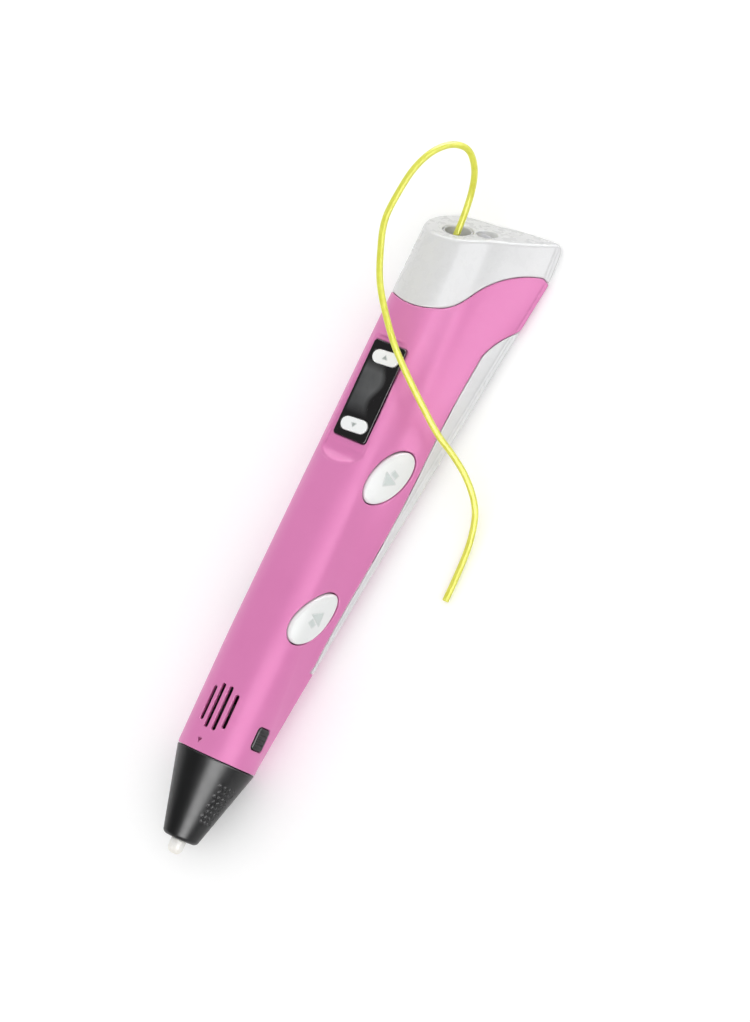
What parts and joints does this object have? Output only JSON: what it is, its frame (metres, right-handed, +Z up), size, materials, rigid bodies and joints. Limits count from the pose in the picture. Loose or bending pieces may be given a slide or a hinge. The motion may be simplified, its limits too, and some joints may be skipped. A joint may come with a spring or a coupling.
{
  "type": "three d pen",
  "caption": "Hand-held 3D drawing pen: pistol-keeled pink body, white belly and tail, black nose cover, display window, feed keys and filament drive.",
  "frame": {"origin": "bottom centre of the box around the pen lying on its hidden flank", "axes": "+X from the nozzle towards the tail along the filament line, +Z up with the display facing up, +Y towards the ridge opposite the belly keel"},
  "size_m": [0.1854, 0.0366, 0.0214],
  "materials": {
    "pink_shell": "satin gloss metallic pink",
    "pearl_shell": "satin gloss pearl white",
    "black_cover": "satin heat resistant black",
    "spring_steel": "plain",
    "display_glass": "polished black",
    "oled": "polished",
    "white_key": "satin white",
    "pearl_key": "satin pearl white",
    "circuit_board": "solder mask green",
    "bare_steel": "brushed",
    "chip": "matte",
    "grey_plastic": "matte light grey",
    "ptfe": "waxy white",
    "brass": "machined",
    "ivory_plastic": "natural nylon",
    "dark_frame": "moulded",
    "phenolic": "pressed phenolic",
    "ceramic": "bare alumina",
    "glass_fibre": "braided sleeve",
    "filament": "translucent yellow",
    "red_wire": "silicone",
    "black_wire": "silicone"
  },
  "bodies": {
    "pen": {"upper_shell": "pink_shell", "belly_shell": "pearl_shell", "rear_cap": "pearl_shell", "latch_spring": "spring_steel", "display_window": "display_glass", "oled_module": "oled", "speed_potentiometer": "bare_steel", "main_board": "circuit_board", "button_board": "circuit_board", "tact_switches": "bare_steel", "controller_chip": "chip", "dc_jack": "grey_plastic", "inlet_guide": "grey_plastic", "rear_guide_tube": "ptfe", "motor_can": "bare_steel", "motor_end_cap": "chip", "gearbox_housing": "brass", "feed_bushings": "brass", "feed_frame": "dark_frame", "ptfe_tube": "ptfe", "hot_end_bulkhead": "phenolic", "heat_break_tube": "bare_steel", "ceramic_heater": "ceramic", "insulation_sleeve": "glass_fibre", "thermistor": "chip", "ceramic_nozzle": "ceramic", "fan_frame": "dark_frame", "power_wires": "red_wire", "heater_wires": "red_wire", "motor_wires": "black_wire", "frame_screws": "spring_steel", "board_screws": "spring_steel"},
    "cover": {"nose_cover": "black_cover"},
    "latch": {"latch_tab": "black_cover"},
    "feed_key": {"feed_button": "pearl_key"},
    "retract_key": {"retract_button": "pearl_key"},
    "temp_up_key": {"temp_up_button": "white_key"},
    "temp_down_key": {"temp_down_button": "white_key"},
    "speed_key": {"speed_knob": "black_cover"},
    "motor_shaft": {"gearbox_shaft": "bare_steel", "motor_pinion": "ivory_plastic"},
    "drive": {"feed_gear": "brass"},
    "fan": {"fan_rotor": "dark_frame"},
    "strand": {"filament": "filament"}
  },
  "joints": [
    {"name": "cover_pull", "type": "slide", "parent": "pen", "child": "cover", "axis": [-1, 0, 0], "range_m": [0, 0.04]},
    {"name": "latch_press", "type": "slide", "parent": "pen", "child": "latch", "axis": [0, 0.9249, -0.3802], "range_m": [0, 0.001], "stiffness_N_per_m": 40},
    {"name": "feed_press", "type": "slide", "parent": "pen", "child": "feed_key", "axis": [0, 0.7028, -0.7114], "range_m": [0, 0.0008], "stiffness_N_per_m": 100},
    {"name": "retract_press", "type": "slide", "parent": "pen", "child": "retract_key", "axis": [0, 0.8256, -0.5642], "range_m": [0, 0.0008], "stiffness_N_per_m": 100},
    {"name": "temp_up_press", "type": "slide", "parent": "pen", "child": "temp_up_key", "axis": [0, -0.2393, -0.9709], "range_m": [0, 0.0004], "stiffness_N_per_m": 20},
    {"name": "temp_down_press", "type": "slide", "parent": "pen", "child": "temp_down_key", "axis": [0, -0.2393, -0.9709], "range_m": [0, 0.0004], "stiffness_N_per_m": 20},
    {"name": "speed_slide", "type": "slide", "parent": "pen", "child": "speed_key", "axis": [1, 0, 0], "range_m": [-0.004, 0.004]},
    {"name": "motor_spin", "type": "hinge", "parent": "pen", "child": "motor_shaft", "pos_m": [0.02933, 0.00082, 0.00722], "axis": [1, 0, 0], "continuous": true},
    {"name": "feed_gear_spin", "type": "hinge", "parent": "pen", "child": "drive", "pos_m": [0.02933, 0.00721, 0.01065], "axis": [1, 0, 0], "continuous": true},
    {"name": "fan_spin", "type": "hinge", "parent": "pen", "child": "fan", "pos_m": [-0.05347, 0.00819, 0.01514], "axis": [0, 0.2138, 0.9769], "continuous": true},
    {"name": "filament_feed", "type": "slide", "parent": "pen", "child": "strand", "axis": [-1, 0, 0], "range_m": [0, 0.006]}
  ],
  "couplings": [
    {"joint": "feed_gear_spin", "follows": "motor_spin", "ratio": -1.25}
  ]
}
